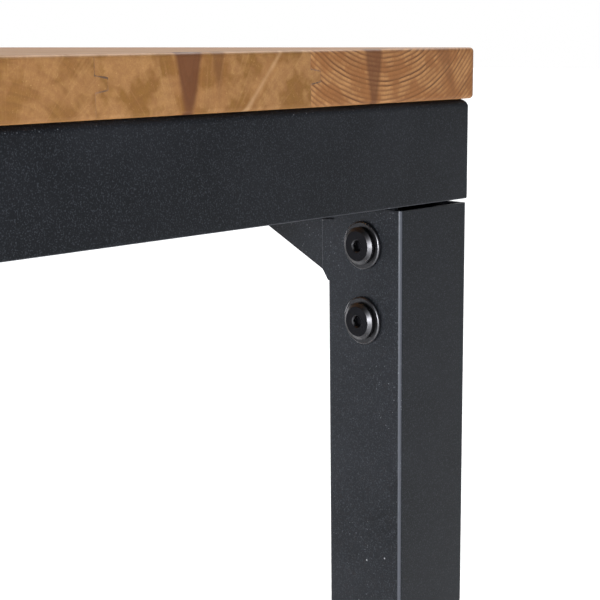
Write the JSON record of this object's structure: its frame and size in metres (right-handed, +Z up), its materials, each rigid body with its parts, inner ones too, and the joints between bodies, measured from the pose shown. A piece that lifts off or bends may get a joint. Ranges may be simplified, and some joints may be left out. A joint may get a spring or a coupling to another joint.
{
  "type": "entryway bench",
  "caption": "Entryway bench: solid-wood board seat on a black steel angle frame, bolt-on square tube legs and screw-adjustable levelling feet.",
  "frame": {"origin": "on the floor, under the middle of the bench", "axes": "+X along the bench's length, +Y across its width, +Z up"},
  "size_m": [1, 0.343, 0.45],
  "materials": {
    "seat_wood": "satin",
    "powder_coat": "satin",
    "bolt_black": "gloss",
    "washer_black": "satin",
    "zinc_steel": "satin",
    "insert_brass": "satin",
    "black_plastic": "matte"
  },
  "bodies": {
    "bench": {"corner_bracket_back_left": "powder_coat", "corner_bracket_back_right": "powder_coat", "corner_bracket_front_left": "powder_coat", "corner_bracket_front_right": "powder_coat", "cross_brace": "powder_coat", "end_rail_left": "powder_coat", "end_rail_right": "powder_coat", "leg_back_left": "powder_coat", "leg_back_right": "powder_coat", "leg_bolts_back_left": "bolt_black", "leg_bolts_back_right": "bolt_black", "leg_bolts_front_left": "bolt_black", "leg_bolts_front_right": "bolt_black", "leg_front_left": "powder_coat", "leg_front_right": "powder_coat", "leg_plug_back_left": "black_plastic", "leg_plug_back_right": "black_plastic", "leg_plug_front_left": "black_plastic", "leg_plug_front_right": "black_plastic", "leg_washers_back_left": "washer_black", "leg_washers_back_right": "washer_black", "leg_washers_front_left": "washer_black", "leg_washers_front_right": "washer_black", "long_rail_back": "powder_coat", "long_rail_front": "powder_coat", "seat_screw_washers": "zinc_steel", "seat_screws": "zinc_steel", "seat_stave_back": "seat_wood", "seat_stave_front": "seat_wood", "seat_stave_middle": "seat_wood", "threaded_insert_back_left": "insert_brass", "threaded_insert_back_right": "insert_brass", "threaded_insert_front_left": "insert_brass", "threaded_insert_front_right": "insert_brass", "weld_nuts_back_left": "zinc_steel", "weld_nuts_back_right": "zinc_steel", "weld_nuts_front_left": "zinc_steel", "weld_nuts_front_right": "zinc_steel"},
    "pad_front_left": {"foot_pad_front_left": "black_plastic"},
    "stud_front_left": {"foot_stud_front_left": "zinc_steel"},
    "pad_front_right": {"foot_pad_front_right": "black_plastic"},
    "stud_front_right": {"foot_stud_front_right": "zinc_steel"},
    "pad_back_left": {"foot_pad_back_left": "black_plastic"},
    "stud_back_left": {"foot_stud_back_left": "zinc_steel"},
    "pad_back_right": {"foot_pad_back_right": "black_plastic"},
    "stud_back_right": {"foot_stud_back_right": "zinc_steel"}
  },
  "joints": [
    {"name": "foot_height_front_left", "type": "slide", "parent": "bench", "child": "pad_front_left", "axis": [0, 0, -1], "range_m": [0, 0.01]},
    {"name": "foot_turn_front_left", "type": "hinge", "parent": "pad_front_left", "child": "stud_front_left", "pos_m": [-0.4725, -0.144, 0.02], "axis": [0, 0, -1], "range_deg": [0, 2881]},
    {"name": "foot_height_front_right", "type": "slide", "parent": "bench", "child": "pad_front_right", "axis": [0, 0, -1], "range_m": [0, 0.01]},
    {"name": "foot_turn_front_right", "type": "hinge", "parent": "pad_front_right", "child": "stud_front_right", "pos_m": [0.4725, -0.144, 0.02], "axis": [0, 0, -1], "range_deg": [0, 2881]},
    {"name": "foot_height_back_left", "type": "slide", "parent": "bench", "child": "pad_back_left", "axis": [0, 0, -1], "range_m": [0, 0.01]},
    {"name": "foot_turn_back_left", "type": "hinge", "parent": "pad_back_left", "child": "stud_back_left", "pos_m": [-0.4725, 0.144, 0.02], "axis": [0, 0, -1], "range_deg": [0, 2881]},
    {"name": "foot_height_back_right", "type": "slide", "parent": "bench", "child": "pad_back_right", "axis": [0, 0, -1], "range_m": [0, 0.01]},
    {"name": "foot_turn_back_right", "type": "hinge", "parent": "pad_back_right", "child": "stud_back_right", "pos_m": [0.4725, 0.144, 0.02], "axis": [0, 0, -1], "range_deg": [0, 2881]}
  ],
  "couplings": [
    {"joint": "foot_turn_front_left", "follows": "foot_height_front_left", "rad_per_m": 5026.5},
    {"joint": "foot_turn_front_right", "follows": "foot_height_front_right", "rad_per_m": 5026.5},
    {"joint": "foot_turn_back_left", "follows": "foot_height_back_left", "rad_per_m": 5026.5},
    {"joint": "foot_turn_back_right", "follows": "foot_height_back_right", "rad_per_m": 5026.5}
  ]
}
